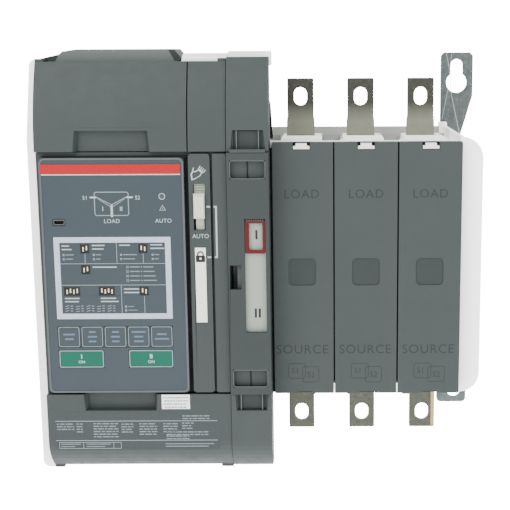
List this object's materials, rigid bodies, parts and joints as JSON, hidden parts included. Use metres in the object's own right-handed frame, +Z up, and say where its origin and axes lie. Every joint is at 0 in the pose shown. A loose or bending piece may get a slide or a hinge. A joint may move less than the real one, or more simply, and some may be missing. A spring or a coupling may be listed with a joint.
{
  "type": "automatic transfer switch",
  "caption": "Panel-mounted automatic transfer switch: drive unit with operator panel and hinged covers, and switching poles with bolt-on load and source terminals.",
  "frame": {"origin": "on the rear mounting plane, at the height of the contact shaft, 1.5 mm right of the right side of the drive base", "axes": "+X to the right seen from the front, +Z up, +Y to the back, towards the mounting plate"},
  "size_m": [0.3202, 0.148, 0.2966],
  "materials": {
    "light_plastic": "fine moulded texture",
    "grey_plastic": "fine moulded texture",
    "panel_plastic": "satin printed film",
    "green_plastic": "satin printed film",
    "black_plastic": "satin",
    "ivory_plastic": "satin",
    "white_plastic": "satin",
    "red_plastic": "semi-gloss",
    "plated_copper": "mottled tin plating",
    "copper": "satin copper",
    "zinc_steel": "zinc plating",
    "dark_steel": "oiled steel",
    "board_laminate": "solder mask"
  },
  "bodies": {
    "switch_frame": {"drive_base": "light_plastic", "pole_base": "light_plastic", "control_terminals": "light_plastic", "top_hood": "grey_plastic", "drive_housing": "grey_plastic", "top_strip": "grey_plastic", "selector_strip": "grey_plastic", "plain_strip": "grey_plastic", "column_housing": "grey_plastic", "pole_cover_1": "grey_plastic", "pole_cover_2": "grey_plastic", "pole_cover_3": "grey_plastic", "operator_panel": "panel_plastic", "supply_module": "black_plastic", "dip_switch_1": "black_plastic", "dip_switch_2": "black_plastic", "dip_switch_3": "black_plastic", "dip_switch_4": "black_plastic", "dip_switch_5": "black_plastic", "dip_switch_6": "black_plastic", "controller_board": "board_laminate", "usb_port": "dark_steel", "indicator_strip": "ivory_plastic", "cover_clip_1": "white_plastic", "cover_clip_2": "white_plastic", "cover_clip_3": "white_plastic", "solenoid_coil": "copper", "ear_top": "zinc_steel", "ear_bottom": "zinc_steel", "load_terminal_1": "plated_copper", "load_terminal_2": "plated_copper", "load_terminal_3": "plated_copper", "source_1_terminal_1": "plated_copper", "source_1_terminal_2": "plated_copper", "source_1_terminal_3": "plated_copper", "source_2_terminal_1": "plated_copper", "source_2_terminal_2": "plated_copper", "source_2_terminal_3": "plated_copper"},
    "top_cover": {"top_cover": "grey_plastic"},
    "bottom_cover": {"bottom_cover": "grey_plastic"},
    "column_top_cover": {"column_top_cover": "grey_plastic"},
    "column_bottom_cover": {"column_bottom_cover": "grey_plastic"},
    "selector_knob": {"selector_knob": "ivory_plastic"},
    "lock_bar": {"lock_bar": "white_plastic"},
    "indicator_frame": {"indicator_frame": "red_plastic"},
    "solenoid_plunger": {"solenoid_plunger": "dark_steel"},
    "contact_shaft": {"contact_shaft": "dark_steel", "drive_crank": "zinc_steel", "drive_sector": "zinc_steel", "moving_contact_1": "copper", "moving_contact_2": "copper", "moving_contact_3": "copper"},
    "key_1": {"key_1": "panel_plastic"},
    "key_2": {"key_2": "panel_plastic"},
    "key_3": {"key_3": "panel_plastic"},
    "key_4": {"key_4": "panel_plastic"},
    "key_5": {"key_5": "panel_plastic"},
    "source_key_1": {"source_key_1": "green_plastic"},
    "source_key_2": {"source_key_2": "green_plastic"}
  },
  "joints": [
    {"name": "top_cover_hinge", "type": "hinge", "parent": "switch_frame", "child": "top_cover", "pos_m": [-0.09745, -0.1223, 0.1433], "axis": [-1, 0, 0], "range_deg": [0, 75]},
    {"name": "bottom_cover_hinge", "type": "hinge", "parent": "switch_frame", "child": "bottom_cover", "pos_m": [-0.08445, -0.1223, -0.1404], "axis": [1, 0, 0], "range_deg": [0, 75]},
    {"name": "column_top_cover_hinge", "type": "hinge", "parent": "switch_frame", "child": "column_top_cover", "pos_m": [-0.0064, -0.1223, 0.144], "axis": [-1, 0, 0], "range_deg": [0, 75]},
    {"name": "column_bottom_cover_hinge", "type": "hinge", "parent": "switch_frame", "child": "column_bottom_cover", "pos_m": [-0.0064, -0.1223, -0.1385], "axis": [1, 0, 0], "range_deg": [0, 75]},
    {"name": "key_1_press", "type": "slide", "parent": "switch_frame", "child": "key_1", "axis": [0, 1, 0], "range_m": [0, 0.0008], "stiffness_N_per_m": 600},
    {"name": "key_2_press", "type": "slide", "parent": "switch_frame", "child": "key_2", "axis": [0, 1, 0], "range_m": [0, 0.0008], "stiffness_N_per_m": 600},
    {"name": "key_3_press", "type": "slide", "parent": "switch_frame", "child": "key_3", "axis": [0, 1, 0], "range_m": [0, 0.0008], "stiffness_N_per_m": 600},
    {"name": "key_4_press", "type": "slide", "parent": "switch_frame", "child": "key_4", "axis": [0, 1, 0], "range_m": [0, 0.0008], "stiffness_N_per_m": 600},
    {"name": "key_5_press", "type": "slide", "parent": "switch_frame", "child": "key_5", "axis": [0, 1, 0], "range_m": [0, 0.0008], "stiffness_N_per_m": 600},
    {"name": "source_key_1_press", "type": "slide", "parent": "switch_frame", "child": "source_key_1", "axis": [0, 1, 0], "range_m": [0, 0.0008], "stiffness_N_per_m": 600},
    {"name": "source_key_2_press", "type": "slide", "parent": "switch_frame", "child": "source_key_2", "axis": [0, 1, 0], "range_m": [0, 0.0008], "stiffness_N_per_m": 600},
    {"name": "selector_slide", "type": "slide", "parent": "switch_frame", "child": "selector_knob", "axis": [0, 0, 1], "range_m": [-0.006, 0.006]},
    {"name": "lock_bar_slide", "type": "slide", "parent": "switch_frame", "child": "lock_bar", "axis": [0, -1, 0], "range_m": [0, 0.02]},
    {"name": "contact_shaft_turn", "type": "hinge", "parent": "switch_frame", "child": "contact_shaft", "pos_m": [0, -0.0795, 0], "axis": [-1, 0, 0], "range_deg": [0, 50]},
    {"name": "indicator_slide", "type": "slide", "parent": "switch_frame", "child": "indicator_frame", "axis": [0, 0, -1], "range_m": [0, 0.053]},
    {"name": "plunger_slide", "type": "slide", "parent": "switch_frame", "child": "solenoid_plunger", "axis": [0, 0, -1], "range_m": [0, 0.0254]}
  ],
  "couplings": [
    {"joint": "indicator_slide", "follows": "contact_shaft_turn", "m_per_rad": 0.0607},
    {"joint": "plunger_slide", "follows": "contact_shaft_turn", "m_per_rad": 0.02905}
  ]
}
